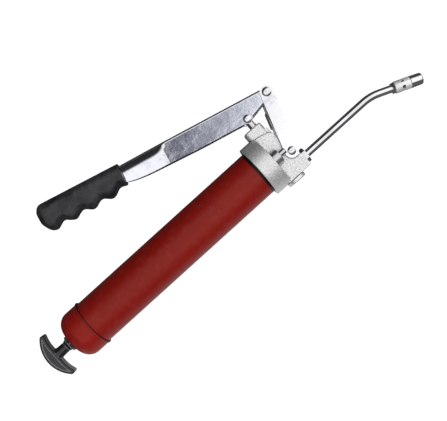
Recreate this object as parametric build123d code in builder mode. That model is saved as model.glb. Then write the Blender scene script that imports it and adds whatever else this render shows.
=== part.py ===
from build123d import *
import os
from math import cos, sin, hypot, pi, radians

os.makedirs("parts", exist_ok=True)

# A lever grease gun lying on its side. X runs along the barrel from the pull handle to the head,
# Y points from the barrel to the lever, Z is the direction of the three pivot pins.
# The origin is on the barrel's axis, halfway along the barrel between cap and head. Millimetres.

# Barrel and rear cap
barrel_r = 28.575
barrel_bore_r = 27.4
barrel_shown = 264.6
barrel_front = 146.5
barrel_back = -148.0
cap_r = 29.7
cap_wall = 1.0
cap_rim_r = 30.6
cap_rim_x = -barrel_shown / 2 + 1.0
cap_end = -166.9
cap_corner = (-149.0, 15.5)

# Head casting
skirt_r = 34.2
skirt_x = (barrel_shown / 2, 153.2)
skirt_bore_r = 28.9
gasket_t = 1.5
block_half = 12.6
block_low = -33.5
block_front = 184.4
shoulder_x = 175.0
boss_x = 160.2
boss_r = 12.2
boss_half = 10.6
boss_top = 43.8
ledge_half = 9.4

# Pivots of the lever linkage and its plunger
link_foot = (177.0, -6.9)
link_head = (201.3, 63.6)
plunger_eye = (163.8, 55.2)
plunger_r = 4.75
plunger_low = -10.0
eye_r = 5.6
pin_r = 3.0
top_pin_r = 3.6
running = 0.05
foot_play = 2.0
sheet = 2.0
lever_half = 12.6
tang_half = 8.0
lever_tilt = 13.97
lever_edge = 6.2
lever_depth = 21.1
lever_end = 296.0
link_in = 13.0
link_out = 15.4
link_half_width = 8.3

# Outlet, extension tube and coupler
outlet_y = -21.6
tube_r = 4.7
tube_bore_r = 2.0
tube_start = 174.5
bend = (290.4, outlet_y)
bend_angle = 22.4
bend_radius = 57.0
bend_to_coupler = 30.3
coupler_r = 7.4
nipple_bore_r = 3.6

# Air valve on the head's shoulder
valve_y = -0.95
valve_z = 19.6
valve_r = 9.4
valve_front = 162.95
stem_r = 3.95
stem_tip = 171.3

# Follower, its rod and spring
rod_r = 3.95
follower_x = 108.0
spring_r = 21.7
spring_wire_r = 1.3
spring_x = (-159.5, 103.2)
spring_turns = 14.6


def round_pin(centre, shank_r, head_r, half_grip, head_height):
    """A pivot rivet along Z with a domed head at each end."""
    x, y = centre
    section = Plane(origin=(x, y, 0), x_dir=(1, 0, 0), z_dir=(0, -1, 0))
    rim = half_grip + 0.3 * head_height
    crown = half_grip + head_height
    dome = (head_r ** 2 + (crown - rim) ** 2) / (2 * (crown - rim))
    slope = (head_r / 2, crown - dome + (dome ** 2 - head_r ** 2 / 4) ** 0.5)
    with BuildPart() as pin:
        with BuildSketch(section):
            with BuildLine():
                Line((0, -crown), (0, crown))
                ThreePointArc((0, crown), slope, (head_r, rim))
                Polyline((head_r, rim), (head_r, half_grip), (shank_r, half_grip),
                         (shank_r, -half_grip), (head_r, -half_grip), (head_r, -rim))
                ThreePointArc((head_r, -rim), (slope[0], -slope[1]), (0, -crown))
            make_face()
        revolve(axis=Axis((x, y, 0), (0, 0, 1)))
    return pin.part


def coil(start, direction, mean_r, wire_r, length, turns):
    """A round-wire compression spring from start along direction."""
    with BuildPart() as spring:
        with BuildLine() as path:
            Helix(pitch=length / turns, height=length, radius=mean_r, center=start, direction=direction)
        with BuildSketch(Plane(origin=path.line @ 0, z_dir=path.line % 0)):
            Circle(wire_r)
        sweep(is_frenet=True)
    return spring.part


# ---------------------------------------------------------------- barrel
# Rolled steel tube, open at both ends, screwed into the head's skirt.
with BuildPart() as barrel_tube:
    with BuildSketch(Plane.YZ.offset(barrel_back)):
        Circle(barrel_r)
        Circle(barrel_bore_r, mode=Mode.SUBTRACT)
    extrude(amount=barrel_front - barrel_back)
barrel_tube.part.label = "barrel_tube"
export_step(barrel_tube.part, "parts/barrel_tube.step")

# Drawn cap pushed over the barrel's rear end: a rolled rim, a straight wall, a round corner and
# a slightly domed end with the hole for the follower rod.
corner_x, corner_r = cap_corner
corner_y = cap_r - corner_r
room = corner_x - cap_end - corner_r
dome_shift = (corner_y ** 2 - room ** 2) / (2 * room)
dome_r = dome_shift + room + corner_r
dome_x = corner_x + dome_shift
rod_hole_r = rod_r + 0.35
lean = hypot(dome_shift, corner_y)


def cap_line(inset):
    """The cap's profile from its wall to the rod hole, moved inward by inset."""
    r = corner_r - inset
    big = dome_r - inset
    join = (corner_x - r * dome_shift / lean, corner_y + r * corner_y / lean)
    half = (corner_x - r * sin(pi / 4), corner_y + r * cos(pi / 4))
    hole = (dome_x - (big ** 2 - rod_hole_r ** 2) ** 0.5, rod_hole_r)
    mid_y = (join[1] + rod_hole_r) / 2
    mid = (dome_x - (big ** 2 - mid_y ** 2) ** 0.5, mid_y)
    return join, half, hole, mid


outer_join, outer_half, outer_hole, outer_mid = cap_line(0)
inner_join, inner_half, inner_hole, inner_mid = cap_line(cap_wall)
with BuildPart() as barrel_cap:
    with BuildSketch(Plane.XY):
        with BuildLine():
            Polyline((cap_rim_x, barrel_r + 0.1), (cap_rim_x, cap_rim_r - 0.5),
                     (cap_rim_x - 0.5, cap_rim_r), (cap_rim_x - 1.6, cap_rim_r),
                     (cap_rim_x - 2.6, cap_r), (corner_x, cap_r))
            ThreePointArc((corner_x, cap_r), outer_half, outer_join)
            ThreePointArc(outer_join, outer_mid, outer_hole)
            Line(outer_hole, inner_hole)
            ThreePointArc(inner_hole, inner_mid, inner_join)
            ThreePointArc(inner_join, inner_half, (corner_x, cap_r - cap_wall))
            Polyline((corner_x, cap_r - cap_wall), (cap_rim_x - 2.6, cap_r - cap_wall),
                     (cap_rim_x, barrel_r + 0.1))
        make_face()
    revolve(axis=Axis.X)
barrel_cap.part.label = "barrel_cap"
export_step(barrel_cap.part, "parts/barrel_cap.step")

# ---------------------------------------------------------------- follower and pull handle
# Bright steel rod from the handle to the follower, threaded M8 at its front end.
rod_front = follower_x + 16.0
rod_back = -183.0
with BuildPart() as follower_rod:
    with BuildSketch(Plane.YZ.offset(rod_back)):
        Circle(rod_r)
    extrude(amount=rod_front - rod_back)
    chamfer(follower_rod.edges().filter_by(GeomType.CIRCLE), 0.6)
follower_rod.part.label = "follower_rod"
export_step(follower_rod.part, "parts/follower_rod.step")

# Moulded T-handle: trumpet flange, round stem and a thick crossbar with an arched outer face.
grip_half = 8.0
bar_r = 40.0
bar_apex = -201.9
bar_tip_y = 29.0
bar_inner = -187.6
bar_inner_tip = -183.4
arc_x = bar_apex + bar_r
tip_out = (arc_x - (bar_r ** 2 - bar_tip_y ** 2) ** 0.5, bar_tip_y)
with BuildPart() as t_handle:
    with BuildSketch(Plane.XY.offset(-grip_half)):
        with BuildLine():
            ThreePointArc((tip_out[0], -tip_out[1]), (bar_apex, 0), tip_out)
            Line(tip_out, (bar_inner_tip, bar_tip_y))
            TangentArc((bar_inner, 11.0), (bar_inner_tip, bar_tip_y), tangent=(0, 1),
                       tangent_from_first=True)
            Line((bar_inner, 11.0), (bar_inner, -11.0))
            TangentArc((bar_inner, -11.0), (bar_inner_tip, -bar_tip_y), tangent=(0, -1))
            Line((bar_inner_tip, -bar_tip_y), (tip_out[0], -tip_out[1]))
        outline = make_face()
        tips = outline.vertices().filter_by(lambda v: abs(v.Y) > bar_tip_y - 0.1)
        fillet(tips, 2.4)
    extrude(amount=2 * grip_half)
    fillet(t_handle.faces().filter_by(Axis.Z).edges(), 1.8)
    with BuildSketch(Plane.XY.offset(grip_half - 0.5), Plane.XY.offset(-grip_half - 0.5)):
        add(outline)
        offset(amount=-3.2, kind=Kind.INTERSECTION, mode=Mode.REPLACE)
    extrude(amount=1.0, mode=Mode.SUBTRACT)
    with BuildSketch(Plane.XY):
        with BuildLine():
            Polyline((bar_inner - 3.0, 0), (bar_inner - 3.0, 7.9), (bar_inner, 7.9))
            ThreePointArc((bar_inner, 7.9), (-185.6, 7.0), (-183.2, 6.5))
            Polyline((-183.2, 6.5), (-174.0, 6.3), (-173.6, 6.9))
            ThreePointArc((-173.6, 6.9), (-171.2, 7.7), (-169.6, 9.9))
            Polyline((-169.6, 9.9), (-168.4, 9.9), (-168.4, 0), (bar_inner - 3.0, 0))
        make_face()
    revolve(axis=Axis.X)
    with BuildSketch(Plane.YZ.offset(rod_back - 0.3)):
        Circle(rod_r + 0.02)
    extrude(amount=20.0, mode=Mode.SUBTRACT)
t_handle.part.label = "t_handle"
export_step(t_handle.part, "parts/t_handle.step")

# Rubber follower cup: a disc with a lip that wipes the barrel and opens towards the head.
cup_r = barrel_bore_r - 0.08
with BuildPart() as follower_cup:
    with BuildSketch(Plane.XY):
        with BuildLine():
            Polyline((follower_x, rod_r), (follower_x, 24.5), (follower_x + 2.0, 26.6),
                     (follower_x + 12.0, cup_r), (follower_x + 13.0, cup_r - 0.6),
                     (follower_x + 5.0, 23.2), (follower_x + 4.0, 21.0), (follower_x + 4.0, rod_r),
                     (follower_x, rod_r))
        make_face()
    revolve(axis=Axis.X)
follower_cup.part.label = "follower_cup"
export_step(follower_cup.part, "parts/follower_cup.step")

# Two steel washers that clamp the cup, one on each side.
plate_x = (follower_x - 3.2, follower_x + 4.0)
with BuildPart() as follower_washers:
    for x, outer, thick in ((plate_x[0], 24.0, 3.2), (plate_x[1], 15.0, 2.0)):
        with BuildSketch(Plane.YZ.offset(x)):
            Circle(outer)
            Circle(rod_r, mode=Mode.SUBTRACT)
        extrude(amount=thick)
follower_washers.part.label = "follower_washers"
export_step(follower_washers.part, "parts/follower_washers.step")

# Hexagon nut on the rod's front end.
with BuildPart() as follower_nut:
    with BuildSketch(Plane.YZ.offset(follower_x + 6.0)):
        RegularPolygon(radius=7.5, side_count=6)
        Circle(rod_r, mode=Mode.SUBTRACT)
    extrude(amount=6.5)
follower_nut.part.label = "follower_nut"
export_step(follower_nut.part, "parts/follower_nut.step")

# Long compression spring between the cap and the follower.
follower_spring = coil((spring_x[0], 0, 0), (1, 0, 0), spring_r, spring_wire_r,
                       spring_x[1] - spring_x[0], spring_turns)
follower_spring.label = "follower_spring"
export_step(follower_spring, "parts/follower_spring.step")

# ---------------------------------------------------------------- head
# Aluminium casting: a turned skirt that takes the barrel, a flat block with the lug of the link,
# a flat-sided boss for the plunger across it, and the outlet at the lower front corner.
seat_x = barrel_front + gasket_t
with BuildPart() as head_casting:
    with BuildSketch(Plane.XY.offset(-block_half)):
        with BuildLine():
            Polyline((skirt_x[1] - 3, block_low), (block_front, block_low), (block_front, outlet_y + 6.0),
                     (shoulder_x, outlet_y + 6.0), (shoulder_x, 21.5))
            ThreePointArc((shoulder_x, 21.5), (173.9, 24.7), (171.2, 27.0))
            ThreePointArc((171.2, 27.0), (162.0, 29.8), (skirt_x[1] - 3, 31.7))
            Line((skirt_x[1] - 3, 31.7), (skirt_x[1] - 3, block_low))
        make_face()
        with Locations(link_foot):
            Circle(8.0)
    extrude(amount=2 * block_half)
    fillet(head_casting.edges().filter_by(Axis.Z).filter_by_position(Axis.X, block_front - 0.1,
                                                                     block_front + 0.1), 1.8)
    fillet(head_casting.faces().filter_by(Axis.Z).edges().filter_by(
        lambda e: e.center().X > skirt_x[1] - 2.9), 0.8)
    with BuildSketch(Plane.XY.offset(-ledge_half)):
        with BuildLine():
            Polyline((boss_x, 18.0), (shoulder_x, 18.0), (shoulder_x, 33.2), (166.0, 34.2),
                     (boss_x, 34.6), close=True)
        make_face()
    extrude(amount=2 * ledge_half)
    with BuildSketch(Plane.XZ.offset(-boss_top)):
        with Locations((boss_x, 0)):
            RectangleRounded(2 * boss_r, 2 * boss_half, 5.0)
    extrude(amount=boss_top + 12.0)
    fillet(head_casting.faces().sort_by(Axis.Y)[-1].edges(), 2.2)
    with BuildSketch(Plane.XY):
        with BuildLine():
            Polyline((skirt_x[0], 0), (skirt_x[0], skirt_r - 0.6), (skirt_x[0] + 0.6, skirt_r),
                     (skirt_x[1] - 0.6, skirt_r), (skirt_x[1], skirt_r - 0.6), (skirt_x[1], 0),
                     close=True)
        make_face()
    revolve(axis=Axis.X)
    # Flat spot face for the end plug and its washer
    with BuildSketch(Plane.XZ.offset(-block_low)):
        with Locations((boss_x, 0)):
            Circle(boss_r + 0.5)
    extrude(amount=5.0, mode=Mode.SUBTRACT)
    # Barrel socket and the grease port from the barrel to the plunger
    with BuildSketch(Plane.YZ.offset(skirt_x[0] - 1)):
        Circle(skirt_bore_r)
    extrude(amount=seat_x - skirt_x[0] + 1, mode=Mode.SUBTRACT)
    with BuildSketch(Plane.YZ.offset(seat_x - 1)):
        Circle(5.0)
    extrude(amount=plunger_eye[0] - seat_x + 1, mode=Mode.SUBTRACT)
    # Plunger bore with its seal groove
    with BuildSketch(Plane.XZ.offset(-boss_top - 1)):
        with Locations((plunger_eye[0], 0)):
            Circle(plunger_r + running)
    extrude(amount=boss_top + 17.0, mode=Mode.SUBTRACT)
    with BuildSketch(Plane.XZ.offset(-40.6)):
        with Locations((plunger_eye[0], 0)):
            Circle(6.4)
    extrude(amount=2.6, mode=Mode.SUBTRACT)
    # Check valve chamber, closed from below by the end plug
    for radius, top in ((9.0, -25.0), (3.4, -19.0), (2.3, -14.0)):
        with BuildSketch(Plane.XZ.offset(-top)):
            with Locations((boss_x, 0)):
                Circle(radius)
        extrude(amount=top - block_low + 1, mode=Mode.SUBTRACT)
    # Outlet passage and the threaded socket of the extension tube
    for radius, start in ((2.2, boss_x), (tube_r + running, tube_start - 0.5)):
        with BuildSketch(Plane.YZ.offset(start)):
            with Locations((outlet_y, 0)):
                Circle(radius)
        extrude(amount=block_front - start + 1, mode=Mode.SUBTRACT)
    # Air valve: threaded hole through the shoulder and a shallow relief beside it
    with BuildSketch(Plane.YZ.offset(seat_x - 1)):
        with Locations((valve_y, valve_z)):
            Circle(4.5)
    extrude(amount=skirt_x[1] - seat_x + 1.5, mode=Mode.SUBTRACT)
    with BuildSketch(Plane.YZ.offset(skirt_x[1])):
        with Locations((valve_y, valve_z)):
            Circle(valve_r + 0.4)
    extrude(amount=valve_front - skirt_x[1] + 1.0, mode=Mode.SUBTRACT)
    # Hole of the link's lower pin, wide enough for the link's small sideways travel
    with BuildSketch(Plane.XY.offset(-block_half - 1)):
        with Locations(link_foot):
            Circle(pin_r + foot_play)
    extrude(amount=2 * block_half + 2, mode=Mode.SUBTRACT)
head_casting.part.label = "head_casting"
export_step(head_casting.part, "parts/head_casting.step")

# Flat rubber ring on which the barrel seats.
with BuildPart() as head_gasket:
    with BuildSketch(Plane.YZ.offset(barrel_front + 0.3)):
        Circle(skirt_bore_r - 0.1)
        Circle(24.5, mode=Mode.SUBTRACT)
    extrude(amount=gasket_t - 0.3)
head_gasket.part.label = "head_gasket"
export_step(head_gasket.part, "parts/head_gasket.step")

# Seal ring in the groove around the plunger.
with BuildPart() as plunger_seal:
    with BuildSketch(Plane.XZ.offset(-40.5)):
        with Locations((plunger_eye[0], 0)):
            Circle(6.3)
            Circle(plunger_r + running, mode=Mode.SUBTRACT)
    extrude(amount=2.4)
plunger_seal.part.label = "plunger_seal"
export_step(plunger_seal.part, "parts/plunger_seal.step")

# Round end plug below the plunger, screwed in against a washer, with a pocket for the check spring.
plug_seat = block_low - 0.8
plug_face = -38.6
with BuildPart() as end_plug:
    with BuildSketch(Plane.XY):
        with BuildLine():
            Polyline((boss_x, plug_face), (boss_x + 10.3, plug_face))
            ThreePointArc((boss_x + 10.3, plug_face), (boss_x + 11.6, plug_face + 0.5),
                          (boss_x + 12.1, plug_face + 1.8))
            Polyline((boss_x + 12.1, plug_face + 1.8), (boss_x + 12.1, plug_seat), (boss_x + 8.9, plug_seat),
                     (boss_x + 8.9, -26.0), (boss_x + 8.1, -25.2), (boss_x + 2.7, -25.2),
                     (boss_x + 2.7, -30.2), (boss_x, -30.2), (boss_x, plug_face))
        make_face()
    revolve(axis=Axis((boss_x, 0, 0), (0, 1, 0)))
end_plug.part.label = "end_plug"
export_step(end_plug.part, "parts/end_plug.step")

with BuildPart() as plug_washer:
    with BuildSketch(Plane.XZ.offset(-block_low)):
        with Locations((boss_x, 0)):
            Circle(11.6)
            Circle(9.0, mode=Mode.SUBTRACT)
    extrude(amount=block_low - plug_seat)
plug_washer.part.label = "plug_washer"
export_step(plug_washer.part, "parts/plug_washer.step")

# Steel check ball on its seat below the plunger, held up by a light spring.
ball_r = 3.0
ball_y = -19.0 - (ball_r ** 2 - 2.3 ** 2) ** 0.5
with BuildPart() as check_ball:
    with Locations((boss_x, ball_y, 0)):
        Sphere(ball_r - 0.02)
check_ball.part.label = "check_ball"
export_step(check_ball.part, "parts/check_ball.step")

check_spring = coil((boss_x, ball_y - ball_r - 0.5, 0), (0, -1, 0), 2.0, 0.3,
                    ball_y - ball_r - 0.9 + 30.2, 5)
check_spring.label = "check_spring"
export_step(check_spring, "parts/check_spring.step")

# ---------------------------------------------------------------- plunger and lever
# Hardened plunger with a cross eye that fills the lever's width.
eye_half = lever_half - sheet - 0.3
with BuildPart() as plunger:
    with BuildSketch(Plane.XZ.offset(-plunger_eye[1])):
        with Locations((plunger_eye[0], 0)):
            Circle(plunger_r)
    extrude(amount=plunger_eye[1] - plunger_low)
    chamfer(plunger.faces().sort_by(Axis.Y)[0].edges(), 0.6)
    with BuildSketch(Plane.XY.offset(-eye_half)):
        with Locations(plunger_eye):
            Circle(eye_r)
    extrude(amount=2 * eye_half)
    with BuildSketch(Plane.XY.offset(-eye_half - 1)):
        with Locations(plunger_eye):
            Circle(pin_r + running)
    extrude(amount=2 * eye_half + 2, mode=Mode.SUBTRACT)
plunger.part.label = "plunger"
export_step(plunger.part, "parts/plunger.step")

# The lever is a channel pressed from sheet, open towards the barrel. Its own plane has x along the
# lever from the link's head to the grip and y down towards the barrel.
tilt = radians(lever_tilt)
lever_x = (-cos(tilt), sin(tilt), 0)
lever_y = (-sin(tilt), -cos(tilt), 0)
head_point = (link_head[0], link_head[1], 0)
lever_side = Plane(origin=head_point, x_dir=lever_x, z_dir=(0, 0, 1))
lever_plan = Plane(origin=head_point, x_dir=lever_x, z_dir=lever_y)
rise = (plunger_eye[0] - link_head[0], plunger_eye[1] - link_head[1])
eye_on_lever = (rise[0] * lever_x[0] + rise[1] * lever_x[1], rise[0] * lever_y[0] + rise[1] * lever_y[1])
pinch = (138.0, 194.4)


def lever_widths(inset):
    """Plan of the lever: full width, then pinched in to a narrow tang under the grip."""
    wide, narrow = lever_half - inset, tang_half - inset
    return ((-12, wide), (pinch[0], wide), (pinch[1], narrow), (lever_end + 1, narrow),
            (lever_end + 1, -narrow), (pinch[1], -narrow), (pinch[0], -wide), (-12, -wide))


with BuildPart() as channel_hollow:
    with BuildSketch(lever_plan.offset(sheet - lever_edge)):
        with BuildLine():
            Polyline(*lever_widths(sheet), close=True)
        make_face()
    extrude(amount=40.0)

with BuildPart() as lever_channel:
    with BuildSketch(lever_side.offset(-lever_half)):
        with BuildLine():
            Polyline((0, -lever_edge), (lever_end, -lever_edge), (lever_end, 13.0), (197.0, 13.6))
            Spline((197.0, 13.6), (182.4, 17.6), (141.0, 20.0), (100.0, lever_depth),
                   (60.0, lever_depth), tangents=((-1, 0.5), (-1, 0)))
            Line((60.0, lever_depth), (41.0, lever_depth))
            ThreePointArc((41.0, lever_depth), (eye_on_lever[0] + 1.0, eye_on_lever[1] + 5.2),
                          (28.8, 19.3))
            Polyline((28.8, 19.3), (14.5, 13.2), (-2.5, 5.67))
            ThreePointArc((-2.5, 5.67), (-lever_edge, 0), (0, -lever_edge))
        make_face()
    extrude(amount=2 * lever_half)
    with BuildSketch(lever_plan.offset(-40.0)):
        with BuildLine():
            Polyline(*lever_widths(0), close=True)
        make_face()
    extrude(amount=80.0, mode=Mode.INTERSECT)
    top_edges = lever_channel.edges().filter_by(
        lambda e: abs((e.center() - Vector(head_point)).dot(Vector(lever_y)) + lever_edge) < 0.01
        and abs(e.center().Z) > 1.0 and e.length > 20)
    fillet(top_edges, 3.0)
    add(channel_hollow.part, mode=Mode.SUBTRACT)
    with BuildSketch(lever_side.offset(-20)):
        Circle(top_pin_r + running)
        with Locations(eye_on_lever):
            Circle(pin_r + 0.02)
    extrude(amount=40, mode=Mode.SUBTRACT)
lever_channel.part.label = "lever_channel"
export_step(lever_channel.part, "parts/lever_channel.step")

# Vinyl grip pushed over the lever's tang: a straight back and four finger ridges below.
grip_mouth = 194.5
grip_end = 305.4
grip_half_width = 14.0
ridge_pitch = 25.4
first_ridge = 217.6
stations = (0, 5, 11, 16, 21.5, 27.8, 34.2, 40.6, 46.9, 53.2, 59.6, 66.0, 72.3, 78.6, 85.0, 91.4, 98.0,
            103.5, 107.5, 109.9, 110.9)


def grip_section(along):
    """Back, belly, half width and corner radius of the grip at a distance from its mouth."""
    at = grip_mouth + along
    back = -9.6 - 1.1 * along / 100
    belly = 20.9 + 0.018 * along + 2.7 * cos(2 * pi * (at - first_ridge) / ridge_pitch)
    if along < 12:
        belly = 17.4
    to_end = grip_end - at
    pull = max(0.0, 10.0 - to_end) / 10.0
    tuck = 10.0 * (1 - (1 - pull ** 2) ** 0.5)
    return back + tuck, belly - tuck, grip_half_width - 0.8 * tuck, 10.5 - 0.75 * tuck


with BuildPart() as lever_grip:
    for along in stations:
        back, belly, half_width, corner = grip_section(along)
        at = Vector(*head_point) + Vector(*lever_x) * (grip_mouth + along)
        with BuildSketch(Plane(origin=at, x_dir=lever_y, z_dir=lever_x)):
            with Locations(((back + belly) / 2, 0)):
                RectangleRounded(belly - back, 2 * half_width, corner)
    loft()
    with BuildSketch(lever_side.offset(-tang_half - 0.05)):
        with BuildLine():
            Polyline((grip_mouth - 1, -lever_edge - 0.05), (lever_end + 0.3, -lever_edge - 0.05),
                     (lever_end + 0.3, 13.1), (197.0, 13.8), (grip_mouth - 1, 16.0), close=True)
        make_face()
    extrude(amount=2 * tang_half + 0.1, mode=Mode.SUBTRACT)
lever_grip.part.label = "lever_grip"
export_step(lever_grip.part, "parts/lever_grip.step")

# Rivet through the lever's sides and the plunger's eye.
plunger_pin = round_pin(plunger_eye, pin_r, 5.1, lever_half, 2.4)
plunger_pin.label = "plunger_pin"
export_step(plunger_pin, "parts/plunger_pin.step")

# ---------------------------------------------------------------- link
# Pressed link: two straps joined by a bent web on the side that faces the head. Its own plane
# has x from the foot to the head and y towards the web.
link_run = (link_head[0] - link_foot[0], link_head[1] - link_foot[1])
link_length = hypot(*link_run)
link_plane = Plane(origin=(link_foot[0], link_foot[1], 0),
                   x_dir=(link_run[0], link_run[1], 0), z_dir=(0, 0, 1))
web_span = (33.5, 53.0)
web_out = 10.3
web_mid = sum(web_span) / 2
with BuildPart() as link:
    with BuildSketch(link_plane.offset(-link_out)):
        with Locations((web_mid, 7.3)):
            Rectangle(web_span[1] - web_span[0], 2 * (web_out - 7.3))
    extrude(amount=2 * link_out)
    fillet(link.edges().filter_by(
        lambda e: abs(abs(e.center().Z) - link_out) < 0.01
        and (e.center() - Vector(*link_foot, 0)).dot(link_plane.y_dir) > web_out - 0.01), 4.2)
    with BuildSketch(link_plane.offset(-link_out)):
        with Locations((link_length / 2, 0)):
            SlotCenterToCenter(link_length, 2 * link_half_width)
    extrude(amount=2 * link_out)
    with BuildSketch(link_plane.offset(-link_in)):
        with Locations((link_length / 2, web_out - 2.4 - 20.0)):
            Rectangle(2 * link_length, 40.0)
        with Locations((web_span[0] - 50.0, 0), (web_span[1] + 50.0, 0)):
            Rectangle(100.0, 40.0)
    extrude(amount=2 * link_in, mode=Mode.SUBTRACT)
    with BuildSketch(link_plane.offset(-20)):
        Circle(pin_r + 0.02)
        with Locations((link_length, 0)):
            Circle(top_pin_r + 0.02)
    extrude(amount=40, mode=Mode.SUBTRACT)
link.part.label = "link"
export_step(link.part, "parts/link.step")

link_top_pin = round_pin(link_head, top_pin_r, 5.7, link_out, 2.5)
link_top_pin.label = "link_top_pin"
export_step(link_top_pin, "parts/link_top_pin.step")

link_lower_pin = round_pin(link_foot, pin_r, 5.2, link_out, 2.4)
link_lower_pin.label = "link_lower_pin"
export_step(link_lower_pin, "parts/link_lower_pin.step")

# ---------------------------------------------------------------- outlet and coupler
# Jam nut that locks the extension tube against the casting.
with BuildPart() as outlet_nut:
    with BuildSketch(Plane.YZ.offset(block_front)):
        with Locations((outlet_y, 0)):
            RegularPolygon(radius=9.5, side_count=6)
            Circle(tube_r + running, mode=Mode.SUBTRACT)
    extrude(amount=4.7)
outlet_nut.part.label = "outlet_nut"
export_step(outlet_nut.part, "parts/outlet_nut.step")

# Rigid steel extension tube, bent once near its end.
turn = radians(bend_angle)
coupler_dir = (cos(turn), -sin(turn), 0)
coupler_base = (bend[0] + bend_to_coupler * cos(turn), bend[1] - bend_to_coupler * sin(turn), 0)
tube_in_coupler = 7.5
tube_tip = (coupler_base[0] + tube_in_coupler * cos(turn), coupler_base[1] - tube_in_coupler * sin(turn))
with BuildPart() as extension_tube:
    with BuildLine():
        FilletPolyline((tube_start, outlet_y), bend, tube_tip, radius=bend_radius)
    with BuildSketch(Plane.YZ.offset(tube_start)):
        with Locations((outlet_y, 0)):
            Circle(tube_r)
            Circle(tube_bore_r, mode=Mode.SUBTRACT)
    sweep()
extension_tube.part.label = "extension_tube"
export_step(extension_tube.part, "parts/extension_tube.step")

# The coupler is turned about its own axis: x runs from its base to its mouth.
coupler_plane = Plane(origin=coupler_base, x_dir=coupler_dir, z_dir=(0, 0, 1))
coupler_axis = Axis(coupler_base, coupler_dir)
across = Plane(origin=coupler_base, x_dir=(0, 0, 1), z_dir=coupler_dir)

with BuildPart() as coupler_locknut:
    with BuildSketch(across.offset(-2.8)):
        RegularPolygon(radius=7.2, side_count=6)
        Circle(tube_r + running, mode=Mode.SUBTRACT)
    extrude(amount=2.7)
coupler_locknut.part.label = "coupler_locknut"
export_step(coupler_locknut.part, "parts/coupler_locknut.step")

# Body with five cross windows over the spring chamber.
body_end = 19.8
with BuildPart() as coupler_body:
    with BuildSketch(coupler_plane):
        with BuildLine():
            Polyline((0, tube_r + running), (0, 6.4), (0.8, coupler_r), (body_end - 0.4, coupler_r),
                     (body_end, coupler_r - 0.4), (body_end, 5.2), (8.0, 5.2),
                     (8.0, tube_r + running), close=True)
        make_face()
    revolve(axis=coupler_axis)
    with BuildSketch(across.offset(8.4)):
        with PolarLocations(0, 5, start_angle=-43.0):
            with Locations((coupler_r, 0)):
                Rectangle(5.4, 4.8)
    extrude(amount=3.9, mode=Mode.SUBTRACT)
coupler_body.part.label = "coupler_body"
export_step(coupler_body.part, "parts/coupler_body.step")

# Polished nose sleeve that screws on the body and closes the jaws; its mouth takes the nipple.
with BuildPart() as coupler_sleeve:
    with BuildSketch(coupler_plane):
        with BuildLine():
            Polyline((body_end + 0.3, 5.6), (body_end + 0.3, coupler_r - 0.3),
                     (body_end + 0.6, coupler_r), (32.6, 7.15))
            ThreePointArc((32.6, 7.15), (34.3, 6.45), (35.0, 4.9))
            Polyline((35.0, 4.9), (35.0, nipple_bore_r + 0.5), (34.5, nipple_bore_r),
                     (31.0, nipple_bore_r), (30.6, 5.6), (body_end + 0.3, 5.6))
        make_face()
    revolve(axis=coupler_axis)
coupler_sleeve.part.label = "coupler_sleeve"
export_step(coupler_sleeve.part, "parts/coupler_sleeve.step")

# Four hardened jaws inside the nose, a group of separate segments.
with BuildPart() as coupler_jaws:
    with BuildSketch(across.offset(24.2)):
        Circle(5.4)
        Circle(3.45, mode=Mode.SUBTRACT)
        Rectangle(12, 0.7, mode=Mode.SUBTRACT)
        Rectangle(0.7, 12, mode=Mode.SUBTRACT)
    extrude(amount=6.2)
coupler_jaws.part.label = "coupler_jaws"
export_step(coupler_jaws.part, "parts/coupler_jaws.step")

# Rubber face seal behind the jaws, pushed forward by a spring.
with BuildPart() as coupler_seal:
    with BuildSketch(across.offset(20.4)):
        Circle(5.1)
        Circle(1.2, mode=Mode.SUBTRACT)
    extrude(amount=3.4)
coupler_seal.part.label = "coupler_seal"
export_step(coupler_seal.part, "parts/coupler_seal.step")

spring_start = Vector(*coupler_base) + Vector(*coupler_dir) * 8.5
coupler_spring = coil(tuple(spring_start), coupler_dir, 4.2, 0.4, 11.4, 5)
coupler_spring.label = "coupler_spring"
export_step(coupler_spring, "parts/coupler_spring.step")

# ---------------------------------------------------------------- air valve
# Steel valve body screwed into the shoulder; the sprung stem is pressed to let trapped air out.
valve_axis = Axis((0, valve_y, valve_z), (1, 0, 0))
valve_plane = Plane(origin=(0, valve_y, valve_z), x_dir=(1, 0, 0), z_dir=(0, 0, 1))
with BuildPart() as air_valve_body:
    with BuildSketch(valve_plane):
        with BuildLine():
            Polyline((seat_x + 0.5, 2.4), (seat_x + 0.5, 4.4), (skirt_x[1] + 0.05, 4.4),
                     (skirt_x[1] + 0.05, valve_r), (valve_front - 1.3, valve_r))
            ThreePointArc((valve_front - 1.3, valve_r), (valve_front - 0.4, valve_r - 0.4),
                          (valve_front, valve_r - 1.3))
            Polyline((valve_front, valve_r - 1.3), (valve_front, stem_r + running),
                     (157.0, stem_r + running), (157.0, 2.4), (seat_x + 0.5, 2.4))
        make_face()
    revolve(axis=valve_axis)
air_valve_body.part.label = "air_valve_body"
export_step(air_valve_body.part, "parts/air_valve_body.step")

with BuildPart() as air_valve_stem:
    with BuildSketch(valve_plane):
        with BuildLine():
            Polyline((159.0, 0), (159.0, stem_r), (stem_tip - 0.6, stem_r), (stem_tip, stem_r - 0.6),
                     (stem_tip, 0), close=True)
        make_face()
    revolve(axis=valve_axis)
    with BuildSketch(Plane.YZ.offset(seat_x + 1.6)):
        with Locations((valve_y, valve_z)):
            Circle(1.1)
    extrude(amount=159.2 - seat_x - 1.6)
air_valve_stem.part.label = "air_valve_stem"
export_step(air_valve_stem.part, "parts/air_valve_stem.step")

air_valve_spring = coil((150.4, valve_y, valve_z), (1, 0, 0), 1.75, 0.22, 8.2, 7)
air_valve_spring.label = "air_valve_spring"
export_step(air_valve_spring, "parts/air_valve_spring.step")
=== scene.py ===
from math import cos, radians, sin

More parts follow.
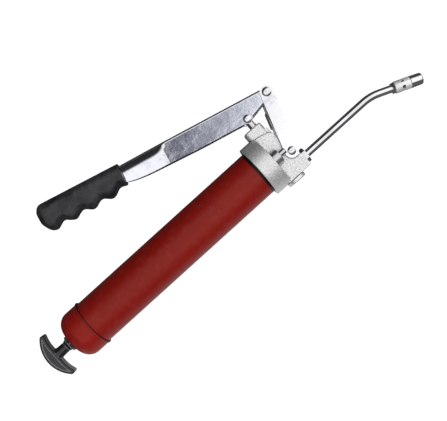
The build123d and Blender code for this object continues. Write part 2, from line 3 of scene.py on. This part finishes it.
import bpy
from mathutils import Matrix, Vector


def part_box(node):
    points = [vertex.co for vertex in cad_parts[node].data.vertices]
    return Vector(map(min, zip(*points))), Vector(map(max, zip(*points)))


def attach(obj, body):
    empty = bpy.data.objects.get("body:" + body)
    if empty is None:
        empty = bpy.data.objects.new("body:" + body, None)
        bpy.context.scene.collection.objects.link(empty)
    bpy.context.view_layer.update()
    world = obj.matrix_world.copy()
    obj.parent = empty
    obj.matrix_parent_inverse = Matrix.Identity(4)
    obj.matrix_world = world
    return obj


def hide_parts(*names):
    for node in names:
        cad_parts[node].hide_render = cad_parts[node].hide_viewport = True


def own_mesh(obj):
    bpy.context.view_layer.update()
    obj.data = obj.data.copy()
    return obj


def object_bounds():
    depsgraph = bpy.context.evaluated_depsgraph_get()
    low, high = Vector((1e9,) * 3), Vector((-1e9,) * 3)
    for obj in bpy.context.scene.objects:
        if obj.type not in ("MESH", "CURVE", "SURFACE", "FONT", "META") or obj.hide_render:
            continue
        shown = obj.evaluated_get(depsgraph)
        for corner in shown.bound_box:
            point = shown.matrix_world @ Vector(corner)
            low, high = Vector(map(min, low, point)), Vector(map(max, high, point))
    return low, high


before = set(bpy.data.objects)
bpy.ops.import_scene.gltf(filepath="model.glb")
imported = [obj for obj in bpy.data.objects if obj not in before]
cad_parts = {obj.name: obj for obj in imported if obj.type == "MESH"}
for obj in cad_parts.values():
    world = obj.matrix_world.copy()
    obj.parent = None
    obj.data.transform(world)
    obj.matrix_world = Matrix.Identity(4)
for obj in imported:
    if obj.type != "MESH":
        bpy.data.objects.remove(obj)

cad_low, cad_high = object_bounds()

# ------------------------------------------------------------ view
# The grease gun lies on a white table and is seen from straight above, turned so that the barrel
# runs from lower left to upper right.
view_x, view_y, view_height = 0.0713, -0.0053, 0.894
view_turn = radians(-42.15)
camera_data = bpy.data.cameras.new("camera")
camera_data.sensor_width = 36.0
camera_data.lens = 60.8
camera = bpy.data.objects.new("camera", camera_data)
camera.location = (view_x, view_y, view_height)
camera.rotation_euler = (0.0, 0.0, view_turn)
bpy.context.scene.collection.objects.link(camera)
bpy.context.scene.camera = camera
bpy.context.scene.view_settings.view_transform = "Standard"


# ------------------------------------------------------------ studio
# A table top that glows: plain white to the camera, and in reflections a painted pool of light on
# the side away from the lever with painted shade elsewhere. A soft tent of light: bright overhead,
# dark at the horizon, on the lever's side and past the pull handle, with a grey card above the lever
# that its polished side mirrors.
class Value:
    """A shader socket that Python arithmetic works on; each operation adds one Math node."""

    def __init__(self, finish, socket):
        self.finish, self.socket = finish, socket

    def math(self, operation, *terms):
        return self.finish.node("ShaderNodeMath", {"operation": operation}, dict(enumerate(terms)))

    def __add__(self, other):
        return self.math("ADD", self, other)

    def __sub__(self, other):
        return self.math("SUBTRACT", self, other)

    def __mul__(self, other):
        return self.math("MULTIPLY", self, other)

    def __truediv__(self, other):
        return self.math("DIVIDE", self, other)

    def __pow__(self, other):
        return self.math("POWER", self, other)

    def __rsub__(self, other):
        return self.math("SUBTRACT", other, self)

    def __rtruediv__(self, other):
        return self.math("DIVIDE", other, self)

    __radd__ = __add__
    __rmul__ = __mul__

    def step(self, low, high):
        """0 below low, 1 above high, smooth between them."""
        return self.finish.node("ShaderNodeMapRange", {"interpolation_type": "SMOOTHSTEP"},
                                {0: self, 1: low, 2: high})


class Finish:
    """A material, or the world, whose nodes are all made by one method."""

    def __init__(self, owner):
        owner.use_nodes = True
        self.owner, self.tree = owner, owner.node_tree

    def node(self, kind, settings, sockets, output=0):
        made = self.tree.nodes.new(kind)
        for name, setting in settings.items():
            setattr(made, name, setting)
        self.fill(made, sockets)
        return Value(self, made.outputs[output])

    def fill(self, made, sockets):
        for name, given in sockets.items():
            socket = made.inputs[name]
            if isinstance(given, Value):
                self.tree.links.new(given.socket, socket)
            elif socket.type == "RGBA" and len(given) == 3:
                socket.default_value = (*given, 1.0)
            else:
                socket.default_value = given

    def blend(self, factor, first, second):
        """A colour that goes from first to second as factor goes from 0 to 1."""
        return self.node("ShaderNodeMix", {"data_type": "RGBA"}, {0: factor, 6: first, 7: second}, 2)

    def axes(self, vector):
        """The three numbers of a vector socket."""
        parts = self.node("ShaderNodeSeparateXYZ", {}, {0: vector}).socket.node
        return [Value(self, part) for part in parts.outputs]


world = bpy.data.worlds.new("studio")
bpy.context.scene.world = world
tent = Finish(world)
white = (1.0, 1.0, 1.0)
to_x, to_y, to_z = tent.axes(tent.node("ShaderNodeTexCoord", {}, {}, "Generated"))

# The tent is brightest towards its middle and reaches further along the barrel than across it.
tent_middle_x, tent_middle_y, tent_squeeze = 0.22, 0.01, 0.6
tent_x, tent_y = (to_x - tent_middle_x) * tent_squeeze, to_y - tent_middle_y
across_tent = (tent_x * tent_x + tent_y * tent_y) ** 0.5
overhead = (1.0 - across_tent.step(0.42, 0.74)) * to_z.step(-0.05, 0.25) * to_x.step(-0.80, -0.45)
near_horizon, far_dimming, tent_brightness = 0.10, 0.07, 1.14
horizon = near_horizon - far_dimming * to_y.step(-0.6, 0.5)
tent_light = horizon + (tent_brightness - horizon) * overhead

# The card's sides are places on a plane one unit above the table.
over_x, over_y = to_x / to_z, to_y / to_z
card_left, card_right = (-0.135, -0.105), (0.125, 0.15)
card_near, card_far = (0.042, 0.056), (0.24, 0.30)
card = (over_x.step(*card_left) * (1.0 - over_x.step(*card_right)) * over_y.step(*card_near)
        * (1.0 - over_y.step(*card_far)) * to_z.step(0.1, 0.2))
card_grey = tent.blend(over_x.step(-0.05, 0.16), (0.03, 0.03, 0.055), (0.50, 0.51, 0.58))
seen = tent.node("ShaderNodeLightPath", {}, {}, "Is Camera Ray")
tent_colour = tent.blend(seen, tent.blend(card, white, card_grey), white)
tent.fill(world.node_tree.nodes["Background"],
          {"Color": tent_colour, "Strength": tent_light + seen * (1.0 - tent_light)})

floor_mesh = bpy.data.meshes.new("floor")
reach, table = 3.0, cad_low[2] - 0.0002
floor_mesh.from_pydata([(-reach, -reach, table), (reach, -reach, table), (reach, reach, table),
                        (-reach, reach, table)], [], [(0, 1, 2, 3)])
floor = bpy.data.objects.new("floor", floor_mesh)
bpy.context.scene.collection.objects.link(floor)
table_top = Finish(bpy.data.materials.new("white_table"))
floor_x, floor_y = table_top.axes(table_top.node("ShaderNodeTexCoord", {}, {}, "Object"))[:2]
seen = table_top.node("ShaderNodeLightPath", {}, {}, "Is Camera Ray")
table_seen, table_dark, table_glow = 1.05, 0.05, 0.60
# Painted light: in reflections the table shows a pool of light away from the lever and painted shade on
# the lever's side and past the head; to the camera it is evenly white.
painted_light_pool = (1.0 - floor_y.step(-0.05, 0.05)) * (1.0 - floor_x.step(0.14, 0.19))
table_light = table_dark + table_glow * painted_light_pool
floor_mesh.materials.append(table_top.owner)
table_top.fill(table_top.tree.nodes["Principled BSDF"],
               {"Base Color": (0.04, 0.04, 0.04), "Roughness": 0.9, "Specular IOR Level": 0.0,
                "Emission Color": table_light + seen * (table_seen - table_light),
                "Emission Strength": 1.0})

for name, place, size, power in (("key", (0.05, -0.9, 1.2), 0.9, 9.5),
                                 ("fill", (0.3, 0.5, 1.5), 1.2, 4.0)):
    lamp_data = bpy.data.lights.new(name, "AREA")
    lamp_data.size, lamp_data.energy = size, power
    lamp = bpy.data.objects.new(name, lamp_data)
    lamp.location = place
    lamp.visible_glossy = False
    lamp.rotation_euler = (-Vector(place)).to_track_quat("-Z", "Y").to_euler()
    bpy.context.scene.collection.objects.link(lamp)


# ------------------------------------------------------------ barrel
# Rolled steel tube with a baked dark red paint, screwed into the head; the drawn cap is pushed over
# its rear end. Both are smooth with a faint orange peel, a little chalky and scuffed at their edges.
class Skin(Finish):
    """A material of one Principled shader, worked out in the piece's own coordinates."""

    def __init__(self, name, colour, metallic, roughness, sockets=None):
        super().__init__(bpy.data.materials.new(name))
        self.shader = self.tree.nodes["Principled BSDF"]
        self.fill(self.shader, {"Base Color": colour, "Metallic": metallic, "Roughness": roughness,
                                **(sockets or {})})
        self.place = self.node("ShaderNodeTexCoord", {}, {}, "Object")

    def noise(self, scale, detail=3.0, stretch=(1.0, 1.0, 1.0)):
        """Even noise from 0 to 1; scale is in features per metre."""
        vector = self.node("ShaderNodeMapping", {}, {"Vector": self.place, "Scale": stretch})
        return self.node("ShaderNodeTexNoise", {}, {"Vector": vector, "Scale": scale, "Detail": detail})

    def edges(self, width):
        """1 on the edges of the piece and 0 on its faces."""
        soft = self.node("ShaderNodeBevel", {"samples": 6}, {"Radius": width})
        flat = self.node("ShaderNodeNewGeometry", {}, {}, "Normal")
        agree = self.node("ShaderNodeVectorMath", {"operation": "DOT_PRODUCT"}, {0: soft, 1: flat}, 1)
        return (1.0 - agree).step(0.01, 0.12)

    def crevice_shade(self, reach):
        """A mask for painted shade: 1 deep in a corner or close to a neighbouring piece and 0 in the
        open.
        """
        sky = self.node("ShaderNodeAmbientOcclusion", {"samples": 8}, {"Distance": reach}, "AO")
        return (1.0 - sky).step(0.12, 0.50)

    def relief(self, height, distance, normal=None):
        """Raises the surface by height times distance, in metres."""
        sockets = {"Height": height, "Distance": distance}
        if normal is not None:
            sockets["Normal"] = normal
        return self.node("ShaderNodeBump", {}, sockets)

    def wear(self, *pieces):
        """The pieces, CAD nodes by name or new objects, get this material."""
        for piece in pieces:
            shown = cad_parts[piece] if isinstance(piece, str) else piece
            if not shown.material_slots:
                shown.data.materials.append(self.owner)
            for place in shown.material_slots:
                place.material = self.owner


def red_paint(name, light, roughness, darkening_span):
    """Baked enamel: light scales its red, dust and scuffs roughen it, and its front end turns near
    black past the two given places, fading in between them."""
    paint = Skin(name, (0.2, 0.01, 0.01), 0.0, roughness, {"Specular IOR Level": 0.3,
                                                          "Specular Tint": (1.0, 0.7, 0.6)})
    cloud = paint.noise(22.0, 4.0)
    chalk = paint.noise(150.0, 5.0).step(0.48, 0.72)
    speck = paint.noise(1500.0, 2.0).step(0.66, 0.72)
    rub = paint.noise(60.0, 6.0, (0.25, 1.0, 1.0)).step(0.60, 0.72)
    worn = paint.edges(0.0009)
    colour = paint.blend(cloud, (0.185 * light, 0.0048 * light, 0.0030 * light),
                         (0.225 * light, 0.0072 * light, 0.0045 * light))
    colour = paint.blend(chalk * 0.22, colour, (0.26 * light, 0.035, 0.032))
    colour = paint.blend(speck * 0.35, colour, (0.32, 0.06, 0.05))
    colour = paint.blend(worn * 0.3, colour, (0.36, 0.12, 0.10))
    # The front end turns near black past the given span.
    colour = paint.blend(paint.axes(paint.place)[0].step(*darkening_span), colour, (0.006, 0.0025, 0.0025))
    peel = paint.noise(420.0, 2.0)
    paint.fill(paint.shader, {"Base Color": colour, "Roughness": roughness + 0.10 * rub + 0.06 * cloud,
                              "Normal": paint.relief(peel, 0.00002)})
    return paint


cap_front, skirt_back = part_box("barrel_cap")[1].x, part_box("head_casting")[0].x
red_paint("red_enamel", 1.0, 0.36, (skirt_back - 0.0040, skirt_back - 0.0022)).wear("barrel_tube")
red_paint("red_enamel_cap", 1.15, 0.42, (cap_front - 0.0009, cap_front - 0.0005)).wear("barrel_cap")


# ------------------------------------------------------------ follower, rod and pull handle
# Bright drawn rod with a moulded black T-handle; inside the barrel the rod carries a rubber cup
# between two steel washers and a nut, pushed by a long spring.
def steel(name, colour, roughness, streak=(1.0, 1.0, 1.0), depth=0.000004, metallic=1.0):
    """Bright plain or plated steel with fine drawing marks across the streak's finest direction; a
    chalky plating has less than full metallic."""
    metal = Skin(name, colour, metallic, roughness)
    lines = metal.noise(900.0, 3.0, streak)
    haze = metal.noise(35.0, 5.0)
    stain = metal.noise(160.0, 5.0).step(0.56, 0.74)
    worn = metal.edges(0.0006)
    tone = metal.blend(haze.step(0.35, 0.65), [0.86 * c for c in colour], colour)
    tone = metal.blend(stain * 0.30, tone, [0.72 * c for c in colour])
    tone = metal.blend(worn * 0.6, tone, [min(1.0, 1.12 * c) for c in colour])
    metal.fill(metal.shader, {"Base Color": tone,
                              "Roughness": roughness * (1.0 + 0.5 * haze + 0.3 * lines + 0.5 * stain),
                              "Normal": metal.relief(lines, depth)})
    return metal


steel("bright_drawn_steel", (0.80, 0.80, 0.81), 0.12, (0.05, 1.0, 1.0)).wear("follower_rod")
spring_steel = steel("spring_steel", (0.42, 0.41, 0.40), 0.24)


def spring(node, body):
    """Stands for the CAD spring with a copy of its mesh in spring steel, carried by the body."""
    wire = bpy.data.objects.new(node + "_wire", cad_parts[node].data.copy())
    bpy.context.scene.collection.objects.link(wire)
    spring_steel.wear(wire)
    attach(wire, body)
    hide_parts(node)
    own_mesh(wire)


spring("follower_spring", "barrel")
steel("zinc_plated", (0.70, 0.71, 0.73), 0.20).wear("follower_washers", "follower_nut")


def moulded(name, colour, roughness, grain, depth, shine, haze=1.5, rim_wear_and_highlight=0.05, wave=0.0):
    """Black rubber, vinyl or plastic: a fine moulded grain, dust in it and polish where it is held;
    haze is how much paler its hazy patches are, the rim grey lightens its edges, as wear and on the
    plastic handle as a painted highlight, and wave is the height of its uneven surface."""
    black = Skin(name, colour, 0.0, roughness, {"Specular IOR Level": shine})
    pores = black.noise(grain, 3.0)
    handled = black.noise(55.0, 5.0)
    dust = black.noise(500.0, 4.0).step(0.62, 0.80)
    tone = black.blend(handled.step(0.30, 0.75), colour, [haze * c for c in colour])
    tone = black.blend(dust * 0.25, tone, (0.06, 0.06, 0.062))
    # Lighter edges: wear, and on the plastic handle a painted highlight along its rims.
    tone = black.blend(black.edges(0.0010) * 0.8, tone, (rim_wear_and_highlight, rim_wear_and_highlight, 1.06 * rim_wear_and_highlight))
    uneven = black.relief(black.noise(60.0, 3.0), wave)
    black.fill(black.shader, {"Base Color": tone,
                              "Roughness": roughness + 0.30 * (handled - 0.5) + 0.10 * dust,
                              "Normal": black.relief(pores, depth, uneven)})
    return black


# The handle's light edge lines are a painted highlight.
moulded("black_plastic", (0.006, 0.006, 0.007), 0.26, 900.0, 0.00001, 0.55, haze=2.5, rim_wear_and_highlight=0.45,
        wave=0.0004).wear("t_handle")
moulded("black_rubber", (0.010, 0.010, 0.010), 0.55, 1200.0, 0.00002, 0.3).wear(
    "follower_cup", "head_gasket", "plunger_seal", "coupler_seal", "plug_washer")

# ------------------------------------------------------------ head
# Tumbled aluminium casting: a light grey, speckled and finely pitted skin, smoother on its worn
# edges, which are also darkened a little as painted shade, and painted shade darkens its corners
# and where other pieces meet it.
cast = Skin("tumbled_aluminium", (0.78, 0.78, 0.78), 0.8, 0.42)
sand = cast.noise(1500.0, 3.0)
waves = cast.noise(760.0, 2.0)
pit_centre = cast.node("ShaderNodeTexVoronoi", {"feature": "F1"},
                       {"Vector": cast.place, "Scale": 620.0, "Randomness": 1.0})
pits = 1.0 - pit_centre.step(0.0, 0.26)
cast_edges = cast.edges(0.0010)
cast_tone = cast.blend(waves.step(0.30, 0.70), (0.68, 0.68, 0.69), (0.96, 0.96, 0.96))
cast_tone = cast.blend(pits * 0.80, cast_tone, (0.34, 0.34, 0.35))
# Painted shade: the edges are darkened a little; they are also made smoother below.
cast_tone = cast.blend(cast_edges * 0.5, cast_tone, (0.66, 0.66, 0.67))
# Painted shade: corners and places close to other pieces are darkened nearly to black.
cast_tone = cast.blend(cast.crevice_shade(0.004) * 0.9, cast_tone, (0.05, 0.05, 0.055))
cast.fill(cast.shader, {"Base Color": cast_tone, "Roughness": 0.36 + 0.16 * sand - 0.10 * cast_edges,
                        "Normal": cast.relief(0.7 * sand - 0.9 * pits + 1.8 * waves, 0.00018)})
cast.wear("head_casting")

# The round end plug, the jam nut, the air valve and the check ball are turned from plated bar.
steel("turned_plated_steel", (0.90, 0.90, 0.90), 0.26, (1.0, 0.04, 1.0), metallic=0.65).wear(
    "end_plug", "check_ball")
steel("valve_body_steel", (0.80, 0.80, 0.80), 0.24, (0.12, 1.0, 1.0), 0.00001).wear("air_valve_body")
steel("plated_fittings", (0.78, 0.78, 0.80), 0.12, (1.0, 0.05, 0.05)).wear(
    "air_valve_stem", "outlet_nut", "coupler_locknut")
spring("air_valve_spring", "head")
spring("check_spring", "head")

# ------------------------------------------------------------ extension tube and coupler
# Rigid plated tube, bent once and screwed into the head's outlet. At its end are a light matt
# coupler body and a polished nose that closes hardened jaws on a grease nipple.
steel("plated_tube", (0.88, 0.88, 0.90), 0.06, (0.05, 1.0, 1.0), 0.000002).wear("extension_tube")
steel("satin_coupler", (0.95, 0.95, 0.95), 0.26, (1.0, 0.1, 0.1), metallic=0.5).wear("coupler_body")
steel("polished_nose", (0.90, 0.90, 0.93), 0.04, (1.0, 0.1, 0.1), 0.000001).wear("coupler_sleeve")
steel("hard_jaws", (0.10, 0.10, 0.11), 0.30).wear("coupler_jaws")
spring_steel.wear("coupler_spring")

# ------------------------------------------------------------ plunger and link
# Hardened ground plunger under the lever, and the pressed and plated link that holds the lever to
# the head's lug, each on its domed rivets.
steel("ground_plunger", (0.78, 0.78, 0.80), 0.06, (1.0, 0.05, 1.0)).wear("plunger")
# The second colour is a painted reflection, laid on a patchy band across the link below.
link_plating, reflection_grey = (0.97, 0.97, 0.98), (0.80, 0.79, 0.88)
link_skin = steel("bright_link_plating", link_plating, 0.12, (1.0, 0.3, 1.0), 0.000003)
link_up = link_skin.axes(link_skin.place)[1]
reflection_band = link_up.step(0.0475, 0.0495) * (1.0 - link_up.step(0.056, 0.060))
reflection_band = reflection_band * link_skin.noise(150.0, 3.0).step(0.30, 0.60)
link_skin.fill(link_skin.shader, {"Base Color": link_skin.blend(reflection_band, link_plating, reflection_grey)})
link_skin.wear("link")
steel("rivet_plating", (0.84, 0.84, 0.86), 0.07).wear("plunger_pin", "link_top_pin", "link_lower_pin")

# ------------------------------------------------------------ lever
# Channel pressed from sheet steel and chrome plated, with slight waves of pressing in its sides.
# Towards the grip its sides are pinched together and its back turns into a broad round shoulder.
lever_skin = Skin("chromed_lever", (0.80, 0.81, 0.86), 1.0, 0.14)
head_pin = sum(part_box("link_top_pin"), Vector()) / 2
lever_lean = radians(13.97)
lever_run = Vector((-cos(lever_lean), sin(lever_lean), 0.0))
lever_drop = Vector((-sin(lever_lean), -cos(lever_lean), 0.0))


def lever_distance(direction):
    """Distance from the link's head pin along a direction, over the lever's surface."""
    dot = lever_skin.node("ShaderNodeVectorMath", {"operation": "DOT_PRODUCT"},
                          {0: lever_skin.place, 1: direction}, 1)
    return dot - head_pin.dot(direction)


lever_along, lever_down = lever_distance(lever_run), lever_distance(lever_drop)
shoulder, back_height, pinch_start, pinch_end = 0.013, 0.0062, 0.132, 0.152
short = 1.0 - (lever_down + back_height) / shoulder
short = short.math("MAXIMUM", short, 0.0)
rounding = ((1.0 - short * short * 0.97) ** 0.5 - 1.0) * lever_along.step(pinch_start, pinch_end)
lever_waves = lever_skin.noise(70.0, 3.0, (0.7, 1.0, 1.0)) + 0.20 * lever_skin.noise(380.0, 3.0)
lever_form = lever_skin.relief(rounding * shoulder, 1.0, lever_skin.relief(lever_waves, 0.00022))
lever_lines = lever_skin.noise(700.0, 3.0, (0.10, 1.0, 1.0))
lever_haze = lever_skin.noise(120.0, 5.0).step(0.45, 0.80)
lever_edges = lever_skin.edges(0.0007)
lever_tone = lever_skin.blend(lever_haze, (0.82, 0.83, 0.89), (0.70, 0.71, 0.76))
lever_tone = lever_skin.blend(lever_edges * 0.7, lever_tone, (0.92, 0.92, 0.94))
lever_skin.fill(lever_skin.shader, {
    "Base Color": lever_tone, "Roughness": 0.09 + 0.10 * lever_haze + 0.03 * lever_lines,
    "Normal": lever_skin.relief(lever_lines, 0.000003, lever_form)})
lever_skin.wear("lever_channel")

# ------------------------------------------------------------ grip
# Black vinyl grip, moulded and pushed over the lever's tang, with a straight back and four finger
# ridges. Its surface is slightly uneven and hazy from handling.
moulded("black_vinyl", (0.006, 0.006, 0.007), 0.40, 1500.0, 0.00003, 0.45, haze=6.0,
        wave=0.0030).wear("lever_grip")
